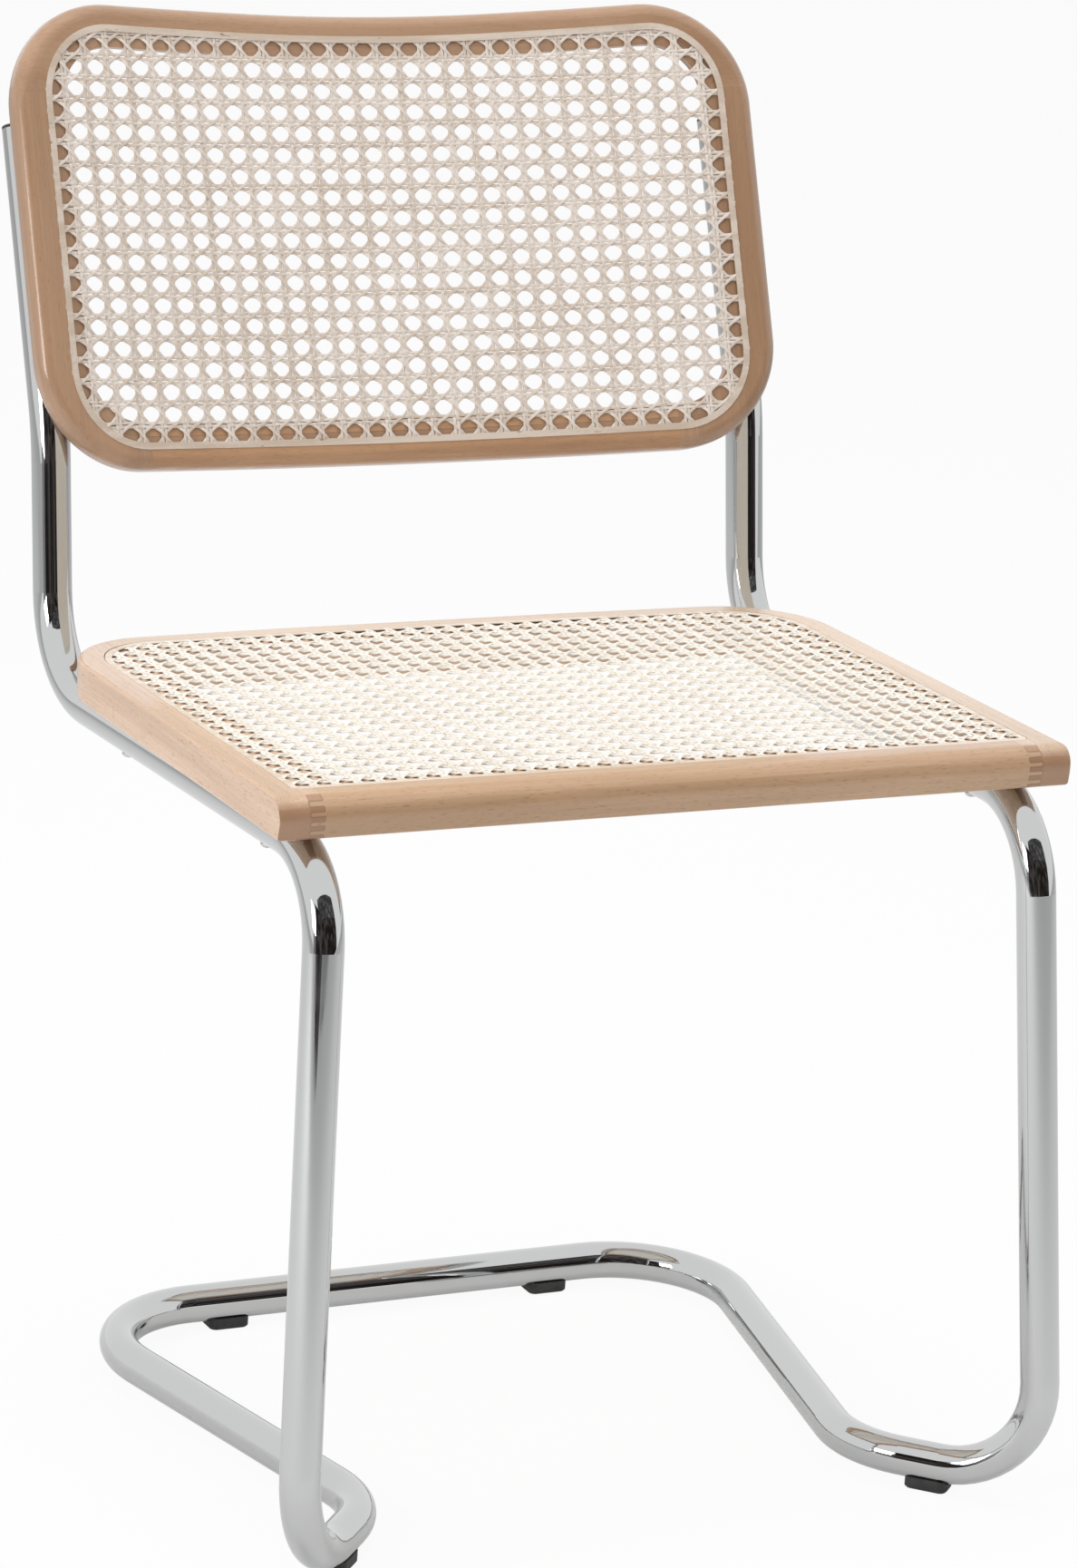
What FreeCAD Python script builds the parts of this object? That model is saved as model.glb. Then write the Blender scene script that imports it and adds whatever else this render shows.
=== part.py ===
# Cantilever dining chair with a bent tube frame and caned seat and back.
# Millimetres. Z is up, the sitter faces -Y, left and right are -X and +X as seen from the front.
import FreeCAD, Part
import math
import os

V = FreeCAD.Vector
SIDES = (("left", -1), ("right", 1))

# Seat, measured in its own plane from the middle of its front edge
seat_width = 513.0
seat_rear_width = 508.0
seat_depth = 360.0
seat_bow = 6.0
seat_bow_r = 5200.0
seat_thickness = 24.3
seat_front_z = 439.7
seat_front_y = -226.2
seat_rear_corner_r = 62.0
seat_front_corner_r = 4.0
groove_front_corner_r = 5.0
opening_front_corner_r = 6.0
opening_rear_corner_r = 14.0
seat_side_margin = 16.5
seat_front_margin = 24.0
seat_rear_margin = 13.0
seat_spline_width = 3.6
seat_ledge_side = 27.0
seat_ledge_front = 16.5
seat_ledge_rear = 22.0
seat_round_top = 13.0
seat_front_lean = 4.4
seat_edge_round = 2.5
rear_joint_inset = 49.0
rear_joint_x = seat_rear_width / 2 - rear_joint_inset
rear_rail_stub = 20.0
finger_count = 4
finger_start = 19.0
finger_length = 9.0

# Back panel, measured along its own face
back_width = 505.0
back_height = 290.0
back_corner_r = 68.0
back_top_dip = 9.0
back_dip_r = 2400.0
back_thickness = 19.0
back_curve_r = 1224.0
back_set_back = 457.8
back_middle_z = 684.0
back_side_margin = 20.0
back_end_margin = 15.5
back_spline_width = 4.4
back_ledge = 8.5
back_round_front = 8.5
back_round_rear = 5.0
back_inner_flare = 12.5
back_joint_drop = 60.0
back_joint_inset = 3.0
post_notch = 2.5
back_centre = V(0, seat_front_y + back_set_back, back_middle_z)

# Tube frame
tube_diameter = 24.0
tube_wall = 2.0
tube_r = tube_diameter / 2
tube_bore_r = tube_r - tube_wall
glide_foot = 4.5
floor_axis_z = tube_r + glide_foot
rail_slope = math.radians(0.85)
post_rake = math.radians(22.0)
front_bend_r = 58.0
rear_bend_r = 66.0
foot_bend_r = 56.0
runner_bend_r = 64.0
rear_floor_bend_r = 72.0
kink_bend_r = 170.0
# How far the tube's corners stand in from the edges of the seat and the back
front_bend_inset = 26.8
foot_inset = 9.5
runner_inset = 95.2
rear_bend_inset = 14.1
rear_floor_inset = 27.3
post_inset = 13.3
# Where they stand front to back, from the seat's front, and in height
front_bend_set_in = 5.3
foot_set_in = 60.3
runner_set_back = 28.1
rear_floor_set_back = 355.8
rear_bend_set_back = 384.6
front_bend_drop = 9.1
post_kink_drop = 107.0
post_top_short = 68.94

# Corner points of the right half of the tube's centre-line before bending
front_bend = V(seat_width / 2 - front_bend_inset, seat_front_y - front_bend_set_in, seat_front_z - front_bend_drop)
rear_bend = V(seat_rear_width / 2 - rear_bend_inset, seat_front_y + rear_bend_set_back,
              front_bend.z - (rear_bend_set_back + front_bend_set_in) * math.tan(rail_slope))
foot_corner = V(seat_width / 2 - foot_inset, seat_front_y - foot_set_in, floor_axis_z)
runner_front = V(seat_width / 2 - runner_inset, seat_front_y + runner_set_back, floor_axis_z)
runner_rear = V(seat_rear_width / 2 - rear_floor_inset, seat_front_y + rear_floor_set_back, floor_axis_z)
post_x = back_width / 2 - post_inset
post_kink_z = back_centre.z - post_kink_drop
post_top_z = back_centre.z + back_height / 2 * math.cos(post_rake) - post_top_short

# Cane and its grooves
cane_thickness = 1.6
groove_depth = 6.0
spline_side_gap = 0.15
seat_gap = 0.1
# The fine weave as a plain coarse grid of openings
grid_columns = 12
back_grid_rows = 7
seat_grid_rows = 8
grid_open_share = 0.66
grid_rim = 5.0
grid_corner_r = 2.0

# Fasteners and small parts
screw_r = 2.2
screw_head_r = 4.2
screw_head_h = 2.4
screw_bite = 14.0
hole_slack = 0.3
seat_screw_y = (72.0, 268.0)
back_screw_v = (-62.0, 48.0)
plug_rim = 2.0
plug_bevel = 0.6
plug_depth = 14.0
plug_gap = 0.1
glide_length = 27.0
glide_width = 19.0
glide_hug = 3.2
glide_bevel = 1.0
glide_peg_r = 3.0
glide_peg_depth = 6.0
rear_glide_x = runner_rear.x / 2
glide_corner_r = 5.0
glide_share = 0.57


def rounded_loop(corners):
    """Closed flat wire through (x, y, radius) corners in the XY plane."""
    count = len(corners)
    cuts = []
    for i in range(count):
        x, y, radius = corners[i]
        here = V(x, y, 0)
        to_last = V(*corners[i - 1][:2], 0) - here
        to_next = V(*corners[(i + 1) % count][:2], 0) - here
        to_last.normalize()
        to_next.normalize()
        if radius <= 0:
            cuts.append((here, None, here))
            continue
        half = to_last.getAngle(to_next) / 2
        reach = radius / math.tan(half)
        bisector = to_last + to_next
        bisector.normalize()
        middle = here + bisector * (radius / math.sin(half) - radius)
        cuts.append((here + to_last * reach, middle, here + to_next * reach))
    edges = []
    for i in range(count):
        start, middle, end = cuts[i]
        if middle is not None:
            edges.append(Part.Arc(start, middle, end).toShape())
        following = cuts[(i + 1) % count][0]
        if (following - end).Length > 1e-6:
            edges.append(Part.makeLine(end, following))
    return Part.Wire(edges)


def unit(vector):
    return V(vector) / vector.Length


def tube_section(at, along, radius, bore_r):
    """Disc, or ring where there is a bore, across a direction."""
    disc = Part.Face(Part.Wire(Part.makeCircle(radius, at, along)))
    if bore_r <= 0:
        return disc
    return disc.cut(Part.Face(Part.Wire(Part.makeCircle(bore_r, at, along)))).Faces[0]


def bent_round(corners, radius, bore_r=0):
    """Round bar or tube of straight runs and true circular bends through (point, bend radius) corners."""
    pieces = []
    last = corners[0][0]
    for i in range(1, len(corners) - 1):
        here, bend_r = corners[i]
        to_last = unit(corners[i - 1][0] - here)
        to_next = unit(corners[i + 1][0] - here)
        half = to_last.getAngle(to_next) / 2
        start = here + to_last * (bend_r / math.tan(half))
        centre = here + unit(to_last + to_next) * (bend_r / math.sin(half))
        turn = 180 - 2 * math.degrees(half)
        pieces.append(tube_section(last, start - last, radius, bore_r).extrude(start - last))
        pieces.append(tube_section(start, -to_last, radius, bore_r).revolve(centre, to_next.cross(to_last), turn))
        last = here + to_next * (bend_r / math.tan(half))
    end = corners[-1][0]
    pieces.append(tube_section(last, end - last, radius, bore_r).extrude(end - last))
    return pieces[0].multiFuse(pieces[1:]).removeSplitter()


def mirrored(point):
    return V(-point.x, point.y, point.z)


def post_axis():
    """Kink and top of the right post, laid along the back of the panel."""
    set_back = back_curve_r * (1 - math.cos(post_x / back_curve_r))
    behind = back_thickness / 2 + tube_r - post_notch - set_back
    through = V(post_x, back_centre.y + behind * math.cos(post_rake),
                back_centre.z - behind * math.sin(post_rake))
    rise = V(0, math.tan(post_rake), 1)
    return through + rise * (post_kink_z - through.z), through + rise * (post_top_z - through.z)


def tube_corners():
    """Corners of the whole bent tube, from one post top round the floor to the other."""
    kink, top = post_axis()
    half = [(top, 0), (kink, kink_bend_r), (rear_bend, rear_bend_r), (front_bend, front_bend_r),
            (foot_corner, foot_bend_r), (runner_front, runner_bend_r), (runner_rear, rear_floor_bend_r)]
    return [(mirrored(p), r) for p, r in half] + half[::-1]


def pin(start, axis, radius, length):
    return Part.makeCylinder(radius, length, start, axis)


def side_half(sign):
    """Room for everything on one side of the middle plane."""
    reach = seat_width + back_width
    return Part.makeBox(reach, 2 * reach, 2 * reach, V(0 if sign > 0 else -reach, -reach, -reach))


def seat_frame_to_chair(shape):
    """From the seat's own plane, underside at z = 0, to its place on the rails."""
    shape = shape.copy()
    shape.rotate(V(0, 0, 0), V(1, 0, 0), -math.degrees(rail_slope))
    shape.translate(V(0, seat_front_y, seat_front_z))
    return shape


def back_to_chair(shape):
    """From the panel's own frame, Y through it and Z up its face, to its raked place."""
    shape = shape.copy()
    shape.rotate(V(0, 0, 0), V(1, 0, 0), -math.degrees(post_rake))
    shape.translate(back_centre)
    return shape


def seat_loop(side, front, rear, front_r, rear_r):
    """Seat outline drawn in by the given margins."""
    front_half = seat_width / 2 - side
    rear_half = seat_rear_width / 2 - side
    far = seat_depth - rear
    return rounded_loop([(-front_half, front, front_r), (front_half, front, front_r),
                         (rear_half, far, rear_r), (0, far + seat_bow, seat_bow_r), (-rear_half, far, rear_r)])


def raised(loop, low, high):
    face = Part.Face(loop)
    face.translate(V(0, 0, low))
    return face.extrude(V(0, 0, high - low))


def seat_profile():
    """Side view of the seat frame: leaning front, waterfall nose and eased rear edge."""
    top = seat_thickness
    far = seat_depth + seat_bow
    flat = [(seat_front_lean, 0, seat_edge_round), (0, top, seat_round_top),
            (far, top, seat_edge_round * 2), (far, 0, seat_edge_round)]
    loop = rounded_loop(flat)
    loop.rotate(V(0, 0, 0), V(1, 1, 1), 120)
    half = seat_width / 2 + 1
    loop.translate(V(-half, 0, 0))
    return Part.Face(loop).extrude(V(2 * half, 0, 0))


def seat_groove_loops():
    outer_r = seat_rear_corner_r - seat_side_margin
    w = seat_spline_width
    outer = seat_loop(seat_side_margin, seat_front_margin, seat_rear_margin, groove_front_corner_r, outer_r)
    inner = seat_loop(seat_side_margin + w, seat_front_margin + w, seat_rear_margin + w,
                      groove_front_corner_r - w / 2, outer_r - w)
    return outer, inner


def seat_blank():
    """The four rails as one block, with nose, cane recess, groove and opening."""
    top = seat_thickness
    block = raised(seat_loop(0, 0, 0, seat_front_corner_r, seat_rear_corner_r), 0, top)
    sharp = [e for e in block.Edges if e.BoundBox.ZLength < 0.01 and e.BoundBox.YMin > 1]
    block = block.makeFillet(seat_edge_round, sharp)
    block = block.common(seat_profile())
    outer, inner = seat_groove_loops()
    block = block.cut(raised(outer, top - cane_thickness, top + 1))
    ring = raised(outer, top - groove_depth, top).cut(raised(inner, top - groove_depth - 1, top + 1))
    block = block.cut(ring)
    w = seat_spline_width
    opening = seat_loop(seat_side_margin + w + seat_ledge_side, seat_front_margin + w + seat_ledge_front,
                        seat_rear_margin + w + seat_ledge_rear,
                        opening_front_corner_r, opening_rear_corner_r)
    return block.cut(raised(opening, -1, top + 1))


def seat_fingers(side):
    """Round-nosed comb on one end of the front rail."""
    pitch = seat_thickness / (finger_count + 0.5)
    depth = seat_front_margin + seat_spline_width + seat_ledge_front
    root = seat_width / 2 - finger_start - finger_length
    comb = []
    for i in range(finger_count):
        low = (i + 0.5) * pitch
        nose = pitch / 4
        bar = Part.makeBox(finger_length - nose, depth, pitch / 2, V(root, 0, low))
        tip = Part.makeCylinder(nose, depth, V(root + finger_length - nose, 0, low + nose), V(0, 1, 0))
        comb.append(bar.fuse(tip).removeSplitter())
    solid = comb[0].multiFuse(comb[1:])
    return solid if side > 0 else solid.mirror(V(0, 0, 0), V(1, 0, 0))


def seat_rails(tube_room, screw_room):
    blank = seat_blank()
    root = seat_width / 2 - finger_start - finger_length
    depth = seat_front_margin + seat_spline_width + seat_ledge_front
    tall = seat_thickness + 2
    front_zone = Part.makeBox(2 * root, depth, tall, V(-root, 0, -1))
    front_zone = front_zone.multiFuse([seat_fingers(1), seat_fingers(-1)])
    rear_depth = seat_rear_margin + seat_spline_width + seat_ledge_rear + rear_rail_stub
    rear_zone = Part.makeBox(2 * rear_joint_x, 2 * rear_depth, tall, V(-rear_joint_x, seat_depth - rear_depth, -1))
    rails = {"seat_front_rail": blank.common(front_zone), "seat_rear_rail": blank.common(rear_zone)}
    sides = blank.cut(front_zone).cut(rear_zone)
    for name, sign in SIDES:
        rails["seat_%s_rail" % name] = sides.common(side_half(sign))
    placed = {}
    for name, shape in rails.items():
        shape = seat_frame_to_chair(shape)
        if "left" in name or "right" in name:
            shape = shape.cut(tube_room)
            for room in screw_room:
                shape = shape.cut(room)
        placed[name] = shape
    return placed


def opening_grid(width, height, rows, depth):
    """Square-cornered bars, one for each opening of a coarse net, centred in XY and rising along Z."""
    pitch_x = width / grid_columns
    pitch_y = height / rows
    bars = []
    for i in range(grid_columns):
        for j in range(rows):
            corner = V((i + 0.5 - grid_open_share / 2) * pitch_x - width / 2,
                       (j + 0.5 - grid_open_share / 2) * pitch_y - height / 2, -depth / 2)
            bars.append(Part.makeBox(grid_open_share * pitch_x, grid_open_share * pitch_y, depth, corner))
    return Part.makeCompound(bars)


def seat_cane():
    """Cane sheet in its recess, opened by a coarse grid within a plain rim."""
    top = seat_thickness
    _, inner = seat_groove_loops()
    sheet = raised(inner, top - cane_thickness, top)
    edge = seat_spline_width + grid_rim
    rim = seat_loop(seat_side_margin + edge, seat_front_margin + edge, seat_rear_margin + edge,
                    grid_corner_r, seat_rear_corner_r - seat_side_margin - edge)
    box = sheet.BoundBox
    grid = opening_grid(box.XLength, box.YLength, seat_grid_rows, 4 * cane_thickness)
    grid.translate(V(0, box.Center.y, top - cane_thickness / 2))
    grid = grid.common(raised(rim, 0, 2 * top))
    return seat_frame_to_chair(sheet.cut(grid))


def seat_spline():
    w = seat_spline_width
    gap = spline_side_gap
    outer_r = seat_rear_corner_r - seat_side_margin
    outer = seat_loop(seat_side_margin + gap, seat_front_margin + gap, seat_rear_margin + gap,
                      groove_front_corner_r - gap, outer_r - gap)
    inner = seat_loop(seat_side_margin + w - gap, seat_front_margin + w - gap, seat_rear_margin + w - gap,
                      groove_front_corner_r - w / 2 + gap, outer_r - w + gap)
    top = seat_thickness
    bed = top - groove_depth
    ring = raised(outer, bed, top).cut(raised(inner, bed - 1, top + 1))
    return seat_frame_to_chair(ring)


def back_loop(side, end, corner_r):
    """Panel outline drawn in by the given margins, with its dipped top edge."""
    half_w = back_width / 2 - side
    half_h = back_height / 2 - end
    loop = rounded_loop([(-half_w, -half_h, corner_r), (half_w, -half_h, corner_r),
                         (half_w, half_h, corner_r), (0, half_h - back_top_dip, back_dip_r),
                         (-half_w, half_h, corner_r)])
    loop.rotate(V(0, 0, 0), V(1, 0, 0), 90)
    return loop


def through_panel(loop):
    face = Part.Face(loop)
    face.translate(V(0, -back_width / 3, 0))
    return face.extrude(V(0, 2 * back_width / 3, 0))


def back_layer(front, rear):
    """Slice of the curved panel between two depths behind its front face."""
    nearest = back_curve_r - back_thickness / 2
    tall = 1.2 * back_height
    base = V(0, -back_curve_r, -tall / 2)
    wide = Part.makeBox(1.2 * back_width, back_width, tall, V(-0.6 * back_width, -back_width / 2, -tall / 2))
    outer = Part.makeCylinder(nearest + rear, tall, base)
    inner = Part.makeCylinder(nearest + front, tall, base)
    return outer.cut(inner).common(wide)


def back_spline_loops(gap=0.0):
    w = back_spline_width
    corner = back_corner_r - back_side_margin
    outer = back_loop(back_side_margin + gap, back_end_margin + gap, corner - gap)
    inner = back_loop(back_side_margin + w - gap, back_end_margin + w - gap, corner - w + gap)
    return outer, inner


def rear_opening_edges(ring):
    """Edges where the opening meets the rear face."""
    rear_r = back_curve_r + back_thickness / 2
    half_w = back_width / 2 - back_side_margin
    half_h = back_height / 2 - back_end_margin
    found = []
    for edge in ring.Edges:
        middle = edge.valueAt((edge.FirstParameter + edge.LastParameter) / 2)
        points = [v.Point for v in edge.Vertexes] + [middle]
        on_rear = all(abs(math.hypot(p.x, p.y + back_curve_r) - rear_r) < 0.05 for p in points)
        if on_rear and all(abs(p.x) < half_w and abs(p.z) < half_h for p in points):
            found.append(edge)
    return found


def back_blank():
    """The bent frame of the back as one ring with its cane recess and groove."""
    ring = through_panel(back_loop(0, 0, back_corner_r)).common(back_layer(0, back_thickness))
    front_r = back_curve_r - back_thickness / 2
    front_edges = []
    rear_edges = []
    for edge in ring.Edges:
        middle = edge.valueAt((edge.FirstParameter + edge.LastParameter) / 2)
        ends = [v.Point for v in edge.Vertexes]
        depths = [math.hypot(p.x, p.y + back_curve_r) - front_r for p in ends + [middle]]
        if max(depths) < 0.05:
            front_edges.append(edge)
        elif min(depths) > back_thickness - 0.05:
            rear_edges.append(edge)
    ring = ring.makeFillet(back_round_front, front_edges)
    ring = ring.makeFillet(back_round_rear, [e for e in ring.Edges if any(e.isSame(r) for r in rear_edges)])
    outer, inner = back_spline_loops()
    ring = ring.cut(through_panel(outer).common(back_layer(-1, cane_thickness)))
    groove = through_panel(outer).cut(through_panel(inner))
    ring = ring.cut(groove.common(back_layer(-1, groove_depth)))
    w = back_spline_width
    opening = back_loop(back_side_margin + w + back_ledge, back_end_margin + w + back_ledge,
                        back_corner_r - back_side_margin - w - back_ledge)
    ring = ring.cut(through_panel(opening))
    return ring.makeChamfer(back_inner_flare, rear_opening_edges(ring))


def back_rails(tube_room, screw_room):
    blank = back_blank()
    half_w = back_width / 2
    joint_z = back_height / 2 - back_joint_drop
    joint_x = half_w - back_corner_r - back_joint_inset
    top_zone = Part.makeBox(4 * half_w, 4 * half_w, back_height, V(-2 * half_w, -2 * half_w, joint_z))
    bottom_zone = Part.makeBox(2 * joint_x, 4 * half_w, back_height, V(-joint_x, -2 * half_w, -back_height))
    rails = {"back_top_rail": blank.common(top_zone), "back_bottom_rail": blank.common(bottom_zone)}
    sides = blank.cut(top_zone).cut(bottom_zone)
    for name, sign in SIDES:
        rails["back_%s_rail" % name] = sides.common(side_half(sign))
    placed = {}
    for name, shape in rails.items():
        shape = back_to_chair(shape)
        if name != "back_bottom_rail":
            shape = shape.cut(tube_room)
            for room in screw_room:
                shape = shape.cut(room)
        placed[name] = shape
    return placed


def back_cane():
    """Curved cane sheet in its recess, opened by a coarse grid within a plain rim."""
    _, inner = back_spline_loops()
    sheet = through_panel(inner).common(back_layer(0, cane_thickness))
    edge = back_spline_width + grid_rim
    rim = back_loop(back_side_margin + edge, back_end_margin + edge, back_corner_r - back_side_margin - edge)
    box = sheet.BoundBox
    grid = opening_grid(box.XLength, box.ZLength, back_grid_rows, 4 * back_thickness)
    grid.rotate(V(0, 0, 0), V(1, 0, 0), 90)
    grid = grid.common(through_panel(rim))
    return back_to_chair(sheet.cut(grid))


def back_spline():
    outer, inner = back_spline_loops(spline_side_gap)
    ring = through_panel(outer).cut(through_panel(inner))
    return back_to_chair(ring.common(back_layer(0, groove_depth)))


def rail_point(y):
    """Centre of the right seat rail tube at a distance behind the seat's front edge."""
    share = (seat_front_y + y - front_bend.y) / (rear_bend.y - front_bend.y)
    return front_bend + (rear_bend - front_bend) * share


def screw(base, axis, grip):
    """Pan-head screw: head under base, shank running along axis."""
    head = pin(base - axis * screw_head_h, axis, screw_head_r, screw_head_h)
    rim = [e for e in head.Edges if (e.valueAt(e.FirstParameter) - base).dot(axis) < -screw_head_h + 0.01]
    head = head.makeChamfer(screw_head_h * 0.5, [e for e in rim if e.Curve.TypeId == "Part::GeomCircle"])
    return head.fuse(pin(base, axis, screw_r, grip)).removeSplitter()


def screw_sets():
    """Seat and back screws with their axes: (group, base, axis, grip)."""
    up = V(0, math.sin(rail_slope), math.cos(rail_slope))
    out = []
    for _, sign in SIDES:
        for y in seat_screw_y:
            centre = rail_point(y)
            centre.x *= sign
            out.append(("seat_screws", centre - up * tube_r, up, tube_diameter + screw_bite))
    kink, top = post_axis()
    rise = top - kink
    rise.normalize()
    forward = V(0, -math.cos(post_rake), math.sin(post_rake))
    foot = kink + rise * ((back_centre - kink).dot(rise))
    for _, sign in SIDES:
        for v in back_screw_v:
            centre = foot + rise * v
            centre.x *= sign
            out.append(("back_screws", centre - forward * tube_r, forward, tube_diameter + screw_bite - 6))
    return out


def glide_places():
    """Middle of each glide on the tube axis, and the tube's direction there."""
    run = runner_front - foot_corner
    places = []
    for name, sign in SIDES:
        middle = foot_corner + run * glide_share
        places.append(("front_%s_glide" % name, V(sign * middle.x, middle.y, middle.z), V(sign * run.x, run.y, 0)))
        places.append(("rear_%s_glide" % name, V(sign * rear_glide_x, runner_rear.y, floor_axis_z), V(1, 0, 0)))
    return places


def glide(middle, along):
    """Moulded saddle foot with a peg that snaps into the tube."""
    half_l = glide_length / 2
    half_w = glide_width / 2
    top = glide_foot + glide_hug
    corner = glide_corner_r
    plan = rounded_loop([(x * half_l, y * half_w, corner) for x, y in ((-1, -1), (1, -1), (1, 1), (-1, 1))])
    pad = raised(plan, 0, top)
    sole = [e for e in pad.Edges if e.BoundBox.ZMax < 0.01]
    pad = pad.makeChamfer(glide_bevel, sole)
    room = pin(V(-half_l - 1, 0, floor_axis_z), V(1, 0, 0), tube_r + seat_gap, glide_length + 2)
    pad = pad.cut(room)
    peg = pin(V(0, 0, glide_foot - 2), V(0, 0, 1), glide_peg_r, glide_peg_depth + 2)
    pad = pad.fuse(peg).removeSplitter()
    pad.rotate(V(0, 0, 0), V(0, 0, 1), math.degrees(math.atan2(along.y, along.x)))
    pad.translate(V(middle.x, middle.y, 0))
    return pad


def post_plug(sign):
    """Flat end plug: rim on the tube's end, stem inside its bore."""
    kink, top = post_axis()
    rise = top - kink
    rise.normalize()
    top = V(sign * top.x, top.y, top.z)
    rim = pin(top, rise, tube_r, plug_rim)
    edge = [e for e in rim.Edges if (e.valueAt(e.FirstParameter) - top).dot(rise) > plug_rim - 0.01]
    rim = rim.makeChamfer(plug_bevel, [e for e in edge if e.Curve.TypeId == "Part::GeomCircle"])
    stem = pin(top - rise * plug_depth, rise, tube_bore_r - plug_gap, plug_depth)
    return rim.fuse(stem).removeSplitter()


def post_end_room(sign):
    """Clearance for the plug rim where the post ends against the back frame."""
    kink, top = post_axis()
    rise = top - kink
    rise.normalize()
    return pin(V(sign * top.x, top.y, top.z) - rise, rise, tube_r + seat_gap, plug_rim + seat_gap + 1)


def main():
    os.makedirs("parts", exist_ok=True)
    corners = tube_corners()
    tube_room = bent_round(corners, tube_r + seat_gap).multiFuse([post_end_room(sign) for _, sign in SIDES])
    screws = screw_sets()
    screw_room = [pin(base, axis, screw_r + 0.05, grip + 0.3) for _, base, axis, grip in screws]
    tube = bent_round(corners, tube_r, tube_bore_r)
    for _, base, axis, _ in screws:
        tube = tube.cut(pin(base - axis, axis, screw_r + hole_slack, tube_diameter + 2))
    for _, middle, _ in glide_places():
        tube = tube.cut(pin(V(middle.x, middle.y, 0), V(0, 0, 1), glide_peg_r + hole_slack, floor_axis_z))
    nodes = {"tube_frame": tube}
    nodes.update(seat_rails(tube_room, screw_room[:4]))
    nodes["seat_cane"] = seat_cane()
    nodes["seat_spline"] = seat_spline()
    nodes.update(back_rails(tube_room, screw_room[4:]))
    nodes["back_cane"] = back_cane()
    nodes["back_spline"] = back_spline()
    for group in ("seat_screws", "back_screws"):
        nodes[group] = Part.makeCompound([screw(b, a, g) for n, b, a, g in screws if n == group])
    for name, middle, along in glide_places():
        nodes[name] = glide(middle, along)
    for name, sign in SIDES:
        nodes["%s_post_plug" % name] = post_plug(sign)
    for name, shape in nodes.items():
        if shape.ShapeType == "Compound" and len(shape.Solids) == 1:
            shape = shape.Solids[0]
        shape.exportStep("parts/%s.step" % name)
        box = shape.BoundBox
        print("%-18s solids %d valid %s vol %9.0f x %7.1f %7.1f y %7.1f %7.1f z %7.1f %7.1f" % (
            name, len(shape.Solids), shape.isValid(), shape.Volume,
            box.XMin, box.XMax, box.YMin, box.YMax, box.ZMin, box.ZMax))


main()
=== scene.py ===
# %% [markdown]
# This lesson dresses a caned dining chair that stands on one bent steel tube.
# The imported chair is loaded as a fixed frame: its bars, rails and screws stay where they are.
# Lengths are metres, Z is up, and the sitter faces -Y, so the chair's left is -X in the front view.

# %% Load the frame
import math

import bmesh
import bpy
from mathutils import Matrix, Vector


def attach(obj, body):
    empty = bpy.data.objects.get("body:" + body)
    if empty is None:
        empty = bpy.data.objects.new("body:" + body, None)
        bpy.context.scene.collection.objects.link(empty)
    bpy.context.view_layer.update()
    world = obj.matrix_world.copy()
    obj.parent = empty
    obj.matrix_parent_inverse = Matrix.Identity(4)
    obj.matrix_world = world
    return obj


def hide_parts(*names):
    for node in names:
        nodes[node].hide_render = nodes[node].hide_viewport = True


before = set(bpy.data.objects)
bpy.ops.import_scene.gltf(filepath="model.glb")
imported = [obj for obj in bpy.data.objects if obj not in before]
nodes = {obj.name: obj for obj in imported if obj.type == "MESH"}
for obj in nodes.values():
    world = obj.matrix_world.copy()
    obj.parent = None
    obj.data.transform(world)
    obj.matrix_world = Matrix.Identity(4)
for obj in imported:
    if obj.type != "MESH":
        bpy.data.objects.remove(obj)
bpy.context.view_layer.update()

mm = 0.001
print("CAD nodes:", len(nodes))

# %% [markdown]
# The camera stands where the photographer stood: in front, towards the chair's left, and above the seat.
# A long lens from over three metres keeps the perspective gentle.
# The lens shift frames the chair without turning the camera, so its upright bars keep their slant.

# %% Camera
view_turn = math.radians(-28.515)
view_height = math.radians(17.565)
view_roll = math.radians(4.63)
view_distance = 3.3893
view_target = Vector((-0.00482, -0.2238, 0.3715))

towards_camera = Vector((math.sin(view_turn) * math.cos(view_height),
                         -math.cos(view_turn) * math.cos(view_height), math.sin(view_height)))
level_axis = Vector((math.cos(view_turn), math.sin(view_turn), 0))
rise_axis = towards_camera.cross(level_axis)
right_axis = level_axis * math.cos(view_roll) + rise_axis * math.sin(view_roll)
up_axis = rise_axis * math.cos(view_roll) - level_axis * math.sin(view_roll)

camera = bpy.data.objects.new("camera", bpy.data.cameras.new("camera"))
bpy.context.scene.collection.objects.link(camera)
stand = Matrix((right_axis, up_axis, towards_camera)).transposed().to_4x4()
stand.translation = view_target + towards_camera * view_distance
camera.matrix_world = stand
camera.data.lens = 134.46
camera.data.shift_x = -0.0845
camera.data.shift_y = 0.0913
camera.data.clip_end = 60
bpy.context.scene.camera = camera
bpy.context.scene.view_settings.view_transform = "Standard"
print("camera at", [round(v, 3) for v in stand.translation])

# %% [markdown]
# Every piece below is shaped in edit mode, as by hand, so a few small helpers come first.
# An operator acts on all that is selected, so each helper clears the selection and then selects by place.

# %% Take a piece and select on it
def start_fresh():
    if bpy.context.object and bpy.context.object.mode != "OBJECT":
        bpy.ops.object.mode_set(mode="OBJECT")
    bpy.ops.object.select_all(action="DESELECT")


def take(piece):
    start_fresh()
    bpy.context.view_layer.objects.active = piece
    piece.select_set(True)


def edit(piece):
    take(piece)
    bpy.ops.object.mode_set(mode="EDIT")
    bpy.ops.mesh.select_all(action="DESELECT")


def select_everything():
    bpy.ops.mesh.select_all(action="SELECT")


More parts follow.
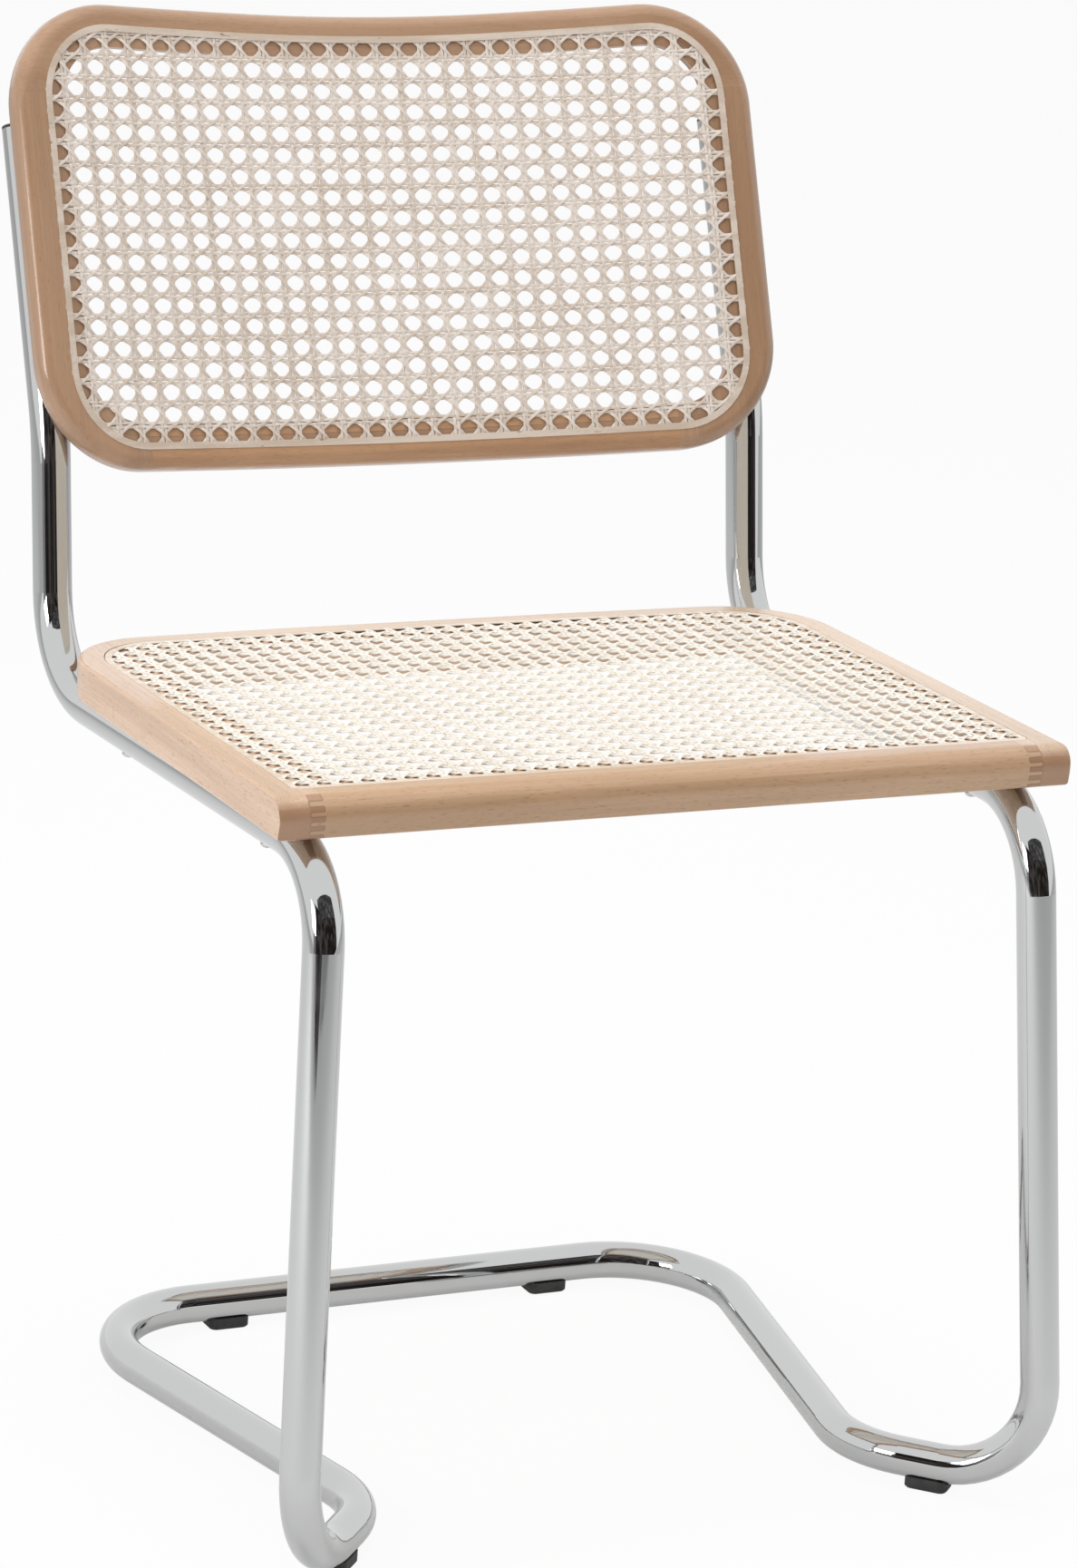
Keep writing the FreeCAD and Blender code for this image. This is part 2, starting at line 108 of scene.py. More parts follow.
def select_points(piece, test):
    """In edit mode, selects the vertices whose place passes the test."""
    bpy.ops.mesh.select_all(action="DESELECT")
    form = bmesh.from_edit_mesh(piece.data)
    for point in form.verts:
        point.select = test(point.co)
    form.select_flush(True)
    bmesh.update_edit_mesh(piece.data)


def select_faces(piece, test):
    """In edit mode, selects the faces whose middle passes the test."""
    bpy.ops.mesh.select_all(action="DESELECT")
    form = bmesh.from_edit_mesh(piece.data)
    for face in form.faces:
        face.select = test(face.calc_center_median())
    bmesh.update_edit_mesh(piece.data)


def done_editing():
    bpy.ops.object.mode_set(mode="OBJECT")


print("pieces are shaped in edit mode")

# %% [markdown]
# A modifier is added and applied at once, so a piece stays an ordinary mesh that can be shaped further.
# A finished piece keeps its place in its mesh, and its object stays at the origin.

# %% Modify, settle and name a piece
def modify(piece, kind, **values):
    take(piece)
    step = piece.modifiers.new(kind.lower(), kind)
    for key, value in values.items():
        setattr(step, key, value)
    bpy.ops.object.modifier_apply(modifier=step.name)


def settle(piece):
    """Moves the object's place, turn and scale into its mesh."""
    take(piece)
    bpy.ops.object.transform_apply(location=True, rotation=True, scale=True)


def rename(piece, name):
    piece.name = name
    piece.data.name = name
    return piece


print("modifiers are applied at once")

# %% [markdown]
# A finish is a tree of nodes. These helpers add a node, set its sockets by name and make a node group.
# An effect that several finishes share is built once as a group and placed in each of them.

# %% Nodes and groups
def new_material(name):
    material = bpy.data.materials.new(name)
    material.use_nodes = True
    return material, material.node_tree, material.node_tree.nodes["Principled BSDF"]


def add(tree, kind, x, y, **values):
    node = tree.nodes.new(kind)
    node.location = (x, y)
    for key, value in values.items():
        setattr(node, key, value)
    return node


def fill(node, **values):
    """Sets sockets by name, with underscores for spaces."""
    for key, value in values.items():
        node.inputs[key.replace("_", " ")].default_value = value


def new_group(name, inputs, outputs):
    """A shader node group with its input and output nodes in place."""
    tree = bpy.data.node_groups.new(name, "ShaderNodeTree")
    for label, kind, value in inputs:
        socket = tree.interface.new_socket(label, in_out="INPUT", socket_type=kind)
        if value is not None:
            socket.default_value = value
    for label, kind in outputs:
        tree.interface.new_socket(label, in_out="OUTPUT", socket_type=kind)
    return tree, add(tree, "NodeGroupInput", -1100, 0), add(tree, "NodeGroupOutput", 700, 0)


def use_group(tree, group, x, y, **values):
    node = add(tree, "ShaderNodeGroup", x, y, node_tree=group)
    fill(node, **values)
    return node


COLOUR, NUMBER, VECTOR = "NodeSocketColor", "NodeSocketFloat", "NodeSocketVector"
print("socket types:", COLOUR, NUMBER, VECTOR)

# %% [markdown]
# Patterns are made from a few steps: a sum, a smooth step between two levels, a blend of two colours,
# noise stretched along the fibres, and a bump. Each is one call, which keeps the finishes short.

# %% Sums, steps, blends and noise
def maths(tree, operation, x, y, first, second=None):
    """A Math node; each operand is a socket or a number."""
    node = add(tree, "ShaderNodeMath", x, y, operation=operation)
    for index, operand in enumerate((first, second)):
        if operand is None:
            continue
        if hasattr(operand, "links"):
            tree.links.new(operand, node.inputs[index])
        else:
            node.inputs[index].default_value = operand
    return node.outputs[0]


def ramp(tree, x, y, source, low, high, low_value=0.0, high_value=1.0):
    """A smooth step from low_value to high_value between two levels of the source."""
    node = add(tree, "ShaderNodeMapRange", x, y, interpolation_type="SMOOTHSTEP")
    tree.links.new(source, node.inputs["Value"])
    fill(node, From_Min=low, From_Max=high, To_Min=low_value, To_Max=high_value)
    return node.outputs["Result"]


def blend(tree, x, y, factor, first, second):
    """Mixes two colours; each is a socket or a colour."""
    node = add(tree, "ShaderNodeMix", x, y, data_type="RGBA")
    tree.links.new(factor, node.inputs["Factor"])
    for index, colour in ((6, first), (7, second)):
        if hasattr(colour, "links"):
            tree.links.new(colour, node.inputs[index])
        else:
            node.inputs[index].default_value = (*colour, 1)
    return node.outputs[2]


def stretched_noise(tree, x, y, vector, stretch, detail, roughness=0.5):
    """Noise whose cells are 1/stretch metres along each axis."""
    scale = add(tree, "ShaderNodeVectorMath", x, y, operation="MULTIPLY")
    tree.links.new(vector, scale.inputs[0])
    scale.inputs[1].default_value = stretch
    noise = add(tree, "ShaderNodeTexNoise", x + 180, y)
    fill(noise, Scale=1.0, Detail=detail, Roughness=roughness)
    tree.links.new(scale.outputs[0], noise.inputs["Vector"])
    return noise.outputs["Fac"]


def bump(tree, x, y, height, strength, distance):
    node = add(tree, "ShaderNodeBump", x, y)
    fill(node, Strength=strength, Distance=distance)
    tree.links.new(height, node.inputs["Height"])
    return node.outputs["Normal"]


def turned_place(tree, turn, shift=(0, 0, 0)):
    """The place on a piece, turned so that its fibres run along X."""
    place = add(tree, "ShaderNodeTexCoord", -1100, 0)
    turned = add(tree, "ShaderNodeMapping", -900, 0)
    fill(turned, Rotation=turn, Location=shift)
    tree.links.new(place.outputs["Object"], turned.inputs["Vector"])
    return turned.outputs[0]


def link_touch(tree, surface, roughness, height, strength, distance):
    """Links what a surface would feel like: its roughness and a bump."""
    tree.links.new(roughness, surface.inputs["Roughness"])
    tree.links.new(bump(tree, -300, -300, height, strength, distance), surface.inputs["Normal"])


print("pattern steps: sum, step, blend, noise, bump")

# %% [markdown]
# The chair stands on white paper. A plain white paper would look grey where lamps are weak, so the paper is
# mixed with a glow by the kind of ray: the camera sees it nearly white, mirrors see it a little greyer.
# The mix leaves a little of the real surface, which takes the chair's faint shadow.

# %% Floor
floor_size = 40
floor_glow_to_camera = 0.93
floor_glow_to_mirrors = 0.25


def stage_plane(name, size, position, turn):
    start_fresh()
    bpy.ops.mesh.primitive_plane_add(size=1, location=position, rotation=turn)
    sheet = bpy.context.object
    sheet.scale = (*size, 1)
    return rename(sheet, name)


floor = stage_plane("floor", (floor_size, floor_size), (0, 0, 0), (0, 0, 0))
material, tree, surface = new_material("floor_paper")
fill(surface, Base_Color=(0.9, 0.9, 0.9, 1), Roughness=0.9, Specular_IOR_Level=0.05)
glow = add(tree, "ShaderNodeEmission", 0, -300)
fill(glow, Color=(1, 1, 1, 1), Strength=1.0)
path = add(tree, "ShaderNodeLightPath", -600, 300)
to_camera = maths(tree, "MULTIPLY", -400, 400, path.outputs["Is Camera Ray"], floor_glow_to_camera)
to_mirrors = maths(tree, "MULTIPLY", -400, 200, path.outputs["Is Glossy Ray"], floor_glow_to_mirrors)
lift = add(tree, "ShaderNodeMixShader", 300, 0)
tree.links.new(maths(tree, "ADD", -200, 300, to_camera, to_mirrors), lift.inputs[0])
tree.links.new(surface.outputs[0], lift.inputs[1])
tree.links.new(glow.outputs[0], lift.inputs[2])
tree.links.new(lift.outputs[0], tree.nodes["Material Output"].inputs["Surface"])
floor.data.materials.append(material)
print("floor:", floor_size, "m square")

# %% [markdown]
# A white surround gives even light from all sides. The camera and the mirrors see it white, but it shines on
# the wood with less than half of that, so the lamps can still model the round edges.

# %% Surround
surround_light = 0.42

world = bpy.data.worlds.new("studio")
bpy.context.scene.world = world
world.use_nodes = True
tree = world.node_tree
sky = tree.nodes["Background"]
fill(sky, Color=(1, 1, 1, 1))
path = add(tree, "ShaderNodeLightPath", -700, 0)
seen = maths(tree, "MAXIMUM", -500, 0, path.outputs["Is Camera Ray"], path.outputs["Is Glossy Ray"])
seen = maths(tree, "MAXIMUM", -300, 0, seen, path.outputs["Is Transmission Ray"])
tree.links.new(ramp(tree, -150, 0, seen, 0, 1, surround_light), sky.inputs["Strength"])
print("surround lights with", surround_light)

# %% [markdown]
# Chrome only looks like metal when it has something to mirror, so a few panels stand round the chair.
# Dark panels behind the camera give the long streaks, and the doorway's sides fade out softly.
# A tall bright window on the left gives the white highlights on the tube and a thin one on the lacquer.
# A beige panel over the seat warms the insides of the posts. Only reflections see these panels.

# %% Panels for the mirrors
crisp_edge = 0.01


def mirror_panel(name, azimuth, distance, width, heights, tones, glow=0.0, side_fade=crisp_edge):
    """A panel that only mirrors see, facing the chair from an azimuth measured from the front."""
    turn = math.radians(azimuth)
    low, high = heights
    spot = (math.sin(turn) * distance, -math.cos(turn) * distance, (low + high) / 2)
    panel = stage_plane(name, (width, high - low), spot, (math.pi / 2, 0, turn))
    panel.visible_camera = False
    panel.visible_diffuse = False
    panel.visible_shadow = False
    material, tree, surface = new_material(name + "_paint")
    place = add(tree, "ShaderNodeNewGeometry", -900, 0)
    cloudy = stretched_noise(tree, -700, 0, place.outputs["Position"], (0.9, 0.9, 1.4), 2)
    tint = blend(tree, -200, 0, ramp(tree, -400, 0, cloudy, 0.4, 0.68), *tones)
    tree.links.new(tint, surface.inputs["Base Color"])
    tree.links.new(tint, surface.inputs["Emission Color"])
    tree.links.new(faded_edges(tree, (width, high - low), (side_fade, crisp_edge)), surface.inputs["Alpha"])
    fill(surface, Roughness=1.0, Specular_IOR_Level=0.0, Emission_Strength=glow)
    panel.data.materials.append(material)
    return panel


def faded_edges(tree, size, fades):
    """One in the middle of a panel, falling to nothing at its sides and ends."""
    sheet = add(tree, "ShaderNodeSeparateXYZ", -700, -300)
    tree.links.new(add(tree, "ShaderNodeTexCoord", -900, -300).outputs["UV"], sheet.inputs[0])
    cover = []
    for axis, length, fade in zip("XY", size, fades):
        share = sheet.outputs[axis]
        other_share = maths(tree, "SUBTRACT", -550, -300, 1.0, share)
        from_edge = maths(tree, "MINIMUM", -400, -300, share, other_share)
        cover.append(ramp(tree, -250, -300, from_edge, 0.0, fade / length))
    return maths(tree, "MULTIPLY", -100, -300, *cover)


DARK_TONES = ((0.03, 0.025, 0.022), (0.17, 0.15, 0.145))
DIM_TONES = ((0.12, 0.115, 0.12), (0.34, 0.33, 0.34))
GREY_TONES = ((0.6, 0.6, 0.61), (0.72, 0.72, 0.73))
WHITE_TONES = ((1, 1, 1), (1, 1, 1))
BEIGE_TONES = ((0.62, 0.57, 0.49), (0.74, 0.69, 0.61))
panels = [
    mirror_panel("dark_doorway", -48, 4.6, 3.25, (0.0, 3.0), DARK_TONES, side_fade=0.5),
    mirror_panel("dark_ceiling_line", -1, 4.7, 11.0, (0.35, 3.0), DARK_TONES),
    mirror_panel("dim_ceiling", -1, 4.75, 11.0, (3.0, 6.0), DIM_TONES),
    mirror_panel("grey_room", -28, 6.5, 15.0, (0.0, 2.6), GREY_TONES),
    mirror_panel("tall_window", -72, 3.4, 1.0, (0.75, 1.8), WHITE_TONES, glow=7.0),
    mirror_panel("beige_panel", 180, 0.04, 0.46, (0.47, 1.3), BEIGE_TONES, glow=0.45)]
print("panels:", [panel.name for panel in panels])

# %% [markdown]
# The key lamp stands low on the left, because the seat's left side is the brightest wood.
# The top lamp hangs a little behind the seat: it brightens the cane and leaves the front rail in half shade.
# Mirrors don't see the lamps, as the panels do that work.

# %% Lamps
def soft_lamp(name, position, aim, size, watts):
    data = bpy.data.lights.new(name, "AREA")
    data.shape = "RECTANGLE"
    data.size, data.size_y = size
    data.energy = watts
    lamp = bpy.data.objects.new(name, data)
    bpy.context.scene.collection.objects.link(lamp)
    lamp.location = position
    lamp.rotation_euler = (Vector(aim) - Vector(position)).to_track_quat("-Z", "Y").to_euler()
    lamp.visible_glossy = False
    return lamp


lamps = [soft_lamp("key_lamp", (-3.0, -1.0, 1.7), (0, 0, 0.5), (1.2, 1.2), 52),
         soft_lamp("top_lamp", (0.1, 0.3, 2.7), (0, 0, 0.45), (1.4, 1.4), 32),
         soft_lamp("fill_lamp", (2.6, -1.2, 1.8), (0, 0, 0.5), (1.0, 1.6), 8)]
print("lamps:", [(lamp.name, lamp.data.energy) for lamp in lamps])

# %% [markdown]
# Beech is a plain, fine wood: soft broad figure, long thin fibres and short brown flecks along the grain.
# One node group makes all three from stretched noise, and every rail turns it to its own grain direction.
# The lacquer is satin, so the fibres show a little in the gloss as well.

# %% Grain of beech
FLECK_BROWN = (0.27, 0.14, 0.075)

grain, entry, leave = new_group(
    "beech_grain",
    [("Vector", VECTOR, None), ("Pale", COLOUR, (0.7, 0.5, 0.35, 1)), ("Warm", COLOUR, (0.5, 0.3, 0.2, 1)),
     ("Fleck", NUMBER, 0.5)],
    [("Color", COLOUR), ("Roughness", NUMBER), ("Height", NUMBER)])
along_grain = entry.outputs["Vector"]
figure = stretched_noise(grain, -900, 300, along_grain, (2.5, 38, 38), 3)
fibre = stretched_noise(grain, -900, 0, along_grain, (16, 620, 620), 3, 0.6)
dashes = stretched_noise(grain, -900, -300, along_grain, (170, 1500, 1500), 1)
fleck = ramp(grain, -500, -300, dashes, 0.6, 0.72)
fleck = maths(grain, "MULTIPLY", -300, -300, fleck, entry.outputs["Fleck"])
tone = maths(grain, "ADD", -500, 200, maths(grain, "MULTIPLY", -600, 300, figure, 0.7),
             maths(grain, "MULTIPLY", -600, 0, fibre, 0.3))
tint = blend(grain, -100, 200, ramp(grain, -300, 200, tone, 0.36, 0.64), entry.outputs["Pale"],
             entry.outputs["Warm"])
grain.links.new(blend(grain, 200, 200, fleck, tint, FLECK_BROWN), leave.inputs["Color"])
grain.links.new(ramp(grain, 200, 0, fibre, 0.3, 0.7, 0.34, 0.46), leave.inputs["Roughness"])
grain.links.new(maths(grain, "SUBTRACT", 200, -200, fibre, fleck), leave.inputs["Height"])
print("group:", grain.name, len(grain.nodes), "nodes")

# %% [markdown]
# The front corners of the seat are finger joints: rounded fingers of the front rail run into the side rails.
# The wood itself meets without a gap, so the thin brown glue line is drawn where the two rails meet.
# It's a distance field: how far a point is from the outline of the fingers, worked out from its place.

# %% Where a point lies in the finger joint
seat_width = 0.513
seat_top = 24.3 * mm
seat_slope = math.radians(0.85)
seat_corner = Vector((0, -0.2262, 0.4397))
finger_count = 4
finger_pitch = seat_top / (finger_count + 0.5)
finger_nose = finger_pitch / 4
finger_root = seat_width / 2 - 28 * mm
finger_tip = seat_width / 2 - 19 * mm
finger_middle = 0.25
front_rail_depth = 44.1 * mm

glue, entry, leave = new_group("finger_glue", [("Vector", VECTOR, None)],
                               [("Mask", NUMBER), ("Between", NUMBER)])


def joint(operation, x, y, first, second=None):
    return maths(glue, operation, x, y, first, second)


axes = add(glue, "ShaderNodeSeparateXYZ", -950, 0)
glue.links.new(entry.outputs["Vector"], axes.inputs[0])
from_middle = joint("ABSOLUTE", -800, 200, axes.outputs["X"])
level = joint("DIVIDE", -800, -100, axes.outputs["Z"], finger_pitch)
step_up = joint("FRACT", -650, -100, joint("SUBTRACT", -700, -100, level, 0.5))
to_this = joint("ABSOLUTE", -550, -50, joint("SUBTRACT", -600, -50, step_up, finger_middle))
to_next = joint("ABSOLUTE", -550, -200, joint("SUBTRACT", -600, -200, step_up, 1 + finger_middle))
off_centre = joint("MULTIPLY", -400, -100, joint("MINIMUM", -500, -100, to_this, to_next), finger_pitch)
beyond_nose = joint("SUBTRACT", -500, 200, from_middle, finger_tip - finger_nose)
past_nose = joint("MAXIMUM", -400, 200, beyond_nose, 0.0)
radial = joint("SQRT", -100, 100, joint("ADD", -200, 100, joint("POWER", -300, 200, past_nose, 2.0),
                                        joint("POWER", -300, 0, off_centre, 2.0)))
print("fingers:", finger_count, "of", round(finger_pitch / 2 / mm, 2), "mm")

# %% [markdown]
# Two lines show: the rounded outline of each finger, and the straight end of the side rail between them.
# What lies between the fingers is end grain, which drinks more lacquer and looks darker.

# %% Glue line and the wood between the fingers
glue_half = 0.22 * mm
top_margin = 0.3 * mm

past_root = joint("GREATER_THAN", 250, 250, from_middle, finger_root)
on_front_rail = joint("LESS_THAN", 350, -250, axes.outputs["Y"], front_rail_depth)
below_top = joint("LESS_THAN", 350, -400, axes.outputs["Z"], seat_top - top_margin)
in_joint = joint("MULTIPLY", 450, -300, on_front_rail, below_top)

to_finger = joint("ABSOLUTE", 50, 100, joint("SUBTRACT", 0, 100, radial, finger_nose))
on_finger = ramp(glue, 200, 100, to_finger, glue_half, 2 * glue_half, 1.0, 0.0)
on_finger = joint("MULTIPLY", 350, 100, on_finger, past_root)

to_root = joint("ABSOLUTE", -100, -200, joint("SUBTRACT", -200, -200, from_middle, finger_root))
# Inside a finger there is no such line, so the distance to it grows by a metre there.
inside_finger = joint("LESS_THAN", -100, -350, radial, finger_nose)
to_root = joint("ADD", 100, -200, to_root, inside_finger)
on_root = ramp(glue, 200, -200, to_root, glue_half, 2 * glue_half, 1.0, 0.0)
lines = joint("MAXIMUM", 450, 0, on_finger, on_root)
glue.links.new(joint("MULTIPLY", 550, 0, lines, in_joint), leave.inputs["Mask"])

before_tip = joint("LESS_THAN", 150, 350, from_middle, finger_tip)
outside_finger = joint("GREATER_THAN", 250, 350, radial, finger_nose)
between = joint("MULTIPLY", 400, 450, joint("MULTIPLY", 250, 450, past_root, before_tip), outside_finger)
glue.links.new(joint("MULTIPLY", 550, 300, between, in_joint), leave.inputs["Between"])
print("group:", glue.name, len(glue.nodes), "nodes")

# %% [markdown]
# One function makes the wood of a rail. It turns the grain along the rail, moves it so that no two rails
# repeat the same figure, darkens the ends of the side rails, where cut fibres show, and adds the glue lines.

# %% Beech of a rail
back_lean = math.radians(22)
along_x, along_y = (0, 0, 0), (0, 0, -math.pi / 2)
up_the_back = (back_lean, math.pi / 2, 0)
GLUE_BROWN = (0.33, 0.19, 0.11)
END_GRAIN = (0.385, 0.2, 0.105)
end_grain_share = 0.8
between_share = 0.75
warm_share = 0.8
warm_balance = (1.0, 0.96, 0.9)
beech_flecks = 0.45


def beech(name, pale, turn, shift, glued=False):
    """Beech with its grain along X after the given turn."""
    material, tree, surface = new_material(name)
    wood = use_group(tree, grain, -600, 0, Pale=(*pale, 1), Warm=(*warmer(pale), 1), Fleck=beech_flecks)
    tree.links.new(turned_place(tree, turn, (shift, shift * 0.7, shift * 1.3)), wood.inputs["Vector"])
    tint = wood.outputs["Color"]
    if turn == along_y:
        tint = darker_ends(tree, tint)
    if glued:
        tint = glue_lines(tree, tint)
    tree.links.new(tint, surface.inputs["Base Color"])
    link_touch(tree, surface, wood.outputs["Roughness"], wood.outputs["Height"], 0.25, 0.1 * mm)
    fill(surface, Coat_Weight=0.8, Coat_Roughness=0.09)
    return material


def warmer(colour):
    """The darker and warmer streaks that go with a colour of wood."""
    return tuple(part * warm_share * warmth for part, warmth in zip(colour, warm_balance))


def darker_ends(tree, tint):
    """End grain where a rail along Y faces forwards or backwards."""
    facing = add(tree, "ShaderNodeNewGeometry", -900, 300)
    facing_axes = add(tree, "ShaderNodeSeparateXYZ", -750, 300)
    tree.links.new(facing.outputs["Normal"], facing_axes.inputs[0])
    endwise = maths(tree, "ABSOLUTE", -600, 300, facing_axes.outputs["Y"])
    cut_end = ramp(tree, -500, 350, endwise, 0.45, 0.9, 0.0, end_grain_share)
    return blend(tree, -450, 200, cut_end, tint, END_GRAIN)


def glue_lines(tree, tint):
    """Draws the finger joint, measured in the seat's own plane from its front edge."""
    from_front = -(Matrix.Rotation(seat_slope, 3, "X") @ seat_corner)
    lines = use_group(tree, glue, -600, -350)
    tree.links.new(turned_place(tree, (seat_slope, 0, 0), from_front), lines.inputs["Vector"])
    end_share = maths(tree, "MULTIPLY", -450, -450, lines.outputs["Between"], between_share)
    tint = blend(tree, -400, 0, end_share, tint, END_GRAIN)
    return blend(tree, -300, 0, lines.outputs["Mask"], tint, GLUE_BROWN)


print("end grain:", END_GRAIN, "glue:", GLUE_BROWN)

# %% [markdown]
# The seat is the paler wood and the back the tanned one. The front rail's colour is darker than the side
# rails':
# this is painted shade for its front face, which stands in half shade. The lower rail of the back is painted
# shade too, the most saturated copy of the back's wood. Eight materials could be wired by hand, but a table
# and one function make them all.

# %% Rails of the seat and the back
PALE_BEECH = (0.74, 0.54, 0.38)
PINK_BEECH = (0.75, 0.52, 0.365)
# Painted shade: the front rail's colour is darkened to stand for the half shade on its front face.
SHADED_FRONT_BEECH = (0.64, 0.41, 0.25)
TAN_BEECH = (0.425, 0.255, 0.152)
# Painted shade: a more saturated copy of TAN_BEECH for the back's lower rail, which lies in shade.
SHADED_BEECH = (0.49, 0.275, 0.145)


def dress(name, material):
    """Gives a CAD node its finish."""
    nodes[name].data.materials.clear()
    nodes[name].data.materials.append(material)


rails = {
    "seat_front_rail": (SHADED_FRONT_BEECH, along_x, 0.3, True),
    "seat_rear_rail": (PALE_BEECH, along_x, 1.1, False),
    "seat_left_rail": (PINK_BEECH, along_y, 2.3, True),
    "seat_right_rail": (PALE_BEECH, along_y, 3.7, True),
    "back_top_rail": (TAN_BEECH, along_x, 4.2, False),
    "back_bottom_rail": (SHADED_BEECH, along_x, 5.9, False),
    "back_left_rail": (TAN_BEECH, up_the_back, 6.4, False),
    "back_right_rail": (TAN_BEECH, up_the_back, 7.8, False)}
for name, (tone, turn, shift, glued) in rails.items():
    dress(name, beech(name + "_beech", tone, turn, shift, glued))
print("beech rails:", len(rails))

# %% [markdown]
# Chrome is a mirror with faint polishing marks, and steel screws are duller. An even gloss would look too
# clean, so one group gives both their smudges: slow patches of handling and very fine rubbed marks.

# %% Chrome and screw steel
rubbed, entry, leave = new_group(
    "rubbed_metal", [("Vector", VECTOR, None), ("Clean", NUMBER, 0.04), ("Smudged", NUMBER, 0.1)],
    [("Roughness", NUMBER), ("Height", NUMBER)])
patches = stretched_noise(rubbed, -800, 200, entry.outputs["Vector"], (22, 22, 22), 4)
fine = stretched_noise(rubbed, -800, -200, entry.outputs["Vector"], (400, 400, 400), 2)
spread_out = add(rubbed, "ShaderNodeMapRange", 0, 200)
rubbed.links.new(ramp(rubbed, -200, 200, patches, 0.45, 0.75), spread_out.inputs["Value"])
rubbed.links.new(entry.outputs["Clean"], spread_out.inputs["To Min"])
rubbed.links.new(entry.outputs["Smudged"], spread_out.inputs["To Max"])
rubbed.links.new(spread_out.outputs[0], leave.inputs["Roughness"])
rubbed.links.new(fine, leave.inputs["Height"])


def metal(name, tone, clean, smudged):
    material, tree, surface = new_material(name)
    rub = use_group(tree, rubbed, -500, 0, Clean=clean, Smudged=smudged)
    tree.links.new(turned_place(tree, along_x), rub.inputs["Vector"])
    fill(surface, Base_Color=(*tone, 1), Metallic=1.0)
    link_touch(tree, surface, rub.outputs["Roughness"], rub.outputs["Height"], 0.02, 0.05 * mm)
    return material


screw_steel = metal("screw_steel", (0.62, 0.62, 0.63), 0.22, 0.38)
dress("tube_frame", metal("tube_chrome", (0.58, 0.585, 0.587), 0.035, 0.09))
for name in ("seat_screws", "back_screws"):
    dress(name, screw_steel)
print("metal: tube_frame, seat_screws, back_screws")

# %% [markdown]
# The feet and the end plugs are moulded black plastic. The mould leaves a fine spark-eroded grain, which is
# only a bump here, because its pits are too small for a mesh. Wear shows as slightly greyer patches.

# %% Moulded black plastic
MOULDED_BLACK, WORN_BLACK = (0.02, 0.02, 0.021), (0.045, 0.044, 0.042)

moulded_black, tree, surface = new_material("moulded_black")
place = turned_place(tree, along_x)
pitted = stretched_noise(tree, -700, 0, place, (1500, 1500, 1500), 2)
worn = stretched_noise(tree, -700, 300, place, (90, 90, 90), 3)
tint = blend(tree, -200, 300, ramp(tree, -400, 300, worn, 0.4, 0.7), MOULDED_BLACK, WORN_BLACK)
tree.links.new(tint, surface.inputs["Base Color"])
link_touch(tree, surface, ramp(tree, -200, 0, worn, 0.3, 0.7, 0.42, 0.6), pitted, 0.35, 0.06 * mm)
plastic_nodes = [name for name in nodes if name.endswith("_glide") or name.endswith("_plug")]
for name in plastic_nodes:
    dress(name, moulded_black)
print("plastic:", plastic_nodes)

# %% [markdown]
# Cane is the glossy skin of the rattan vine. Its fibres run along every strip, its tone changes from strip
# to strip, and small brown scars stay where leaves grew. The strips are too many to paint one by one, so
# a node group makes all three from stretched noise, as for the beech.

# %% Skin of the vine
SCAR_BROWN = (0.30, 0.19, 0.11)

skin, entry, leave = new_group(
    "cane_skin",
    [("Vector", VECTOR, None), ("Pale", COLOUR, (0.8, 0.7, 0.6, 1)), ("Dark", COLOUR, (0.6, 0.5, 0.4, 1)),
     ("Scar", NUMBER, 0.5)],
    [("Color", COLOUR), ("Roughness", NUMBER), ("Height", NUMBER)])
along_strip = entry.outputs["Vector"]
drift = stretched_noise(skin, -900, 300, along_strip, (7, 130, 130), 2)
fibre = stretched_noise(skin, -900, 0, along_strip, (45, 2600, 2600), 2)
scars = stretched_noise(skin, -900, -300, along_strip, (130, 330, 330), 1)
tone = maths(skin, "ADD", -400, 200, maths(skin, "MULTIPLY", -500, 300, drift, 0.65),
             maths(skin, "MULTIPLY", -500, 0, fibre, 0.35))
tint = blend(skin, -100, 200, ramp(skin, -300, 200, tone, 0.38, 0.62), entry.outputs["Pale"],
             entry.outputs["Dark"])
scar = ramp(skin, -400, -300, scars, 0.69, 0.78)
scar = maths(skin, "MULTIPLY", -200, -300, scar, entry.outputs["Scar"])
skin.links.new(blend(skin, 200, 200, scar, tint, SCAR_BROWN), leave.inputs["Color"])
skin.links.new(ramp(skin, 200, 0, fibre, 0.3, 0.7, 0.3, 0.46), leave.inputs["Roughness"])
skin.links.new(fibre, leave.inputs["Height"])
print("group:", skin.name, len(skin.nodes), "nodes")

# %% [markdown]
# The fibres have to follow the strip they lie in, and the strips run in four directions.
# A strip's direction could be kept with every face, but one material for each family is simpler:
# it turns the skin by the angle at which that family stands in the sheet.

# %% Cane of a family
strip_scars = 0.5
reed_scars = 0.8


def cane(name, pale, dark, turn, scar=strip_scars):
    """Cane whose fibres run along X after the given turn."""
    material, tree, surface = new_material(name)
    strip = use_group(tree, skin, -600, 0, Pale=(*pale, 1), Dark=(*dark, 1), Scar=scar)
    tree.links.new(turned_place(tree, turn), strip.inputs["Vector"])
    tree.links.new(strip.outputs["Color"], surface.inputs["Base Color"])
    link_touch(tree, surface, strip.outputs["Roughness"], strip.outputs["Height"], 0.2, 0.04 * mm)
    fill(surface, Coat_Weight=0.2, Coat_Roughness=0.25)
    return material


def slant_lean(pitch):
    """The angle between a slanting strip and the uprights."""
    return math.atan2(pitch[0], pitch[1])


def family_turns(pitch):
    """How far each family of strips stands from the level strips, as an angle in the sheet."""
    lean = slant_lean(pitch)
    quarter = math.pi / 2
    return {"level": 0.0, "upright": quarter, "rising": quarter - lean, "falling": quarter + lean}


print("families:", list(family_turns((1, 1))))

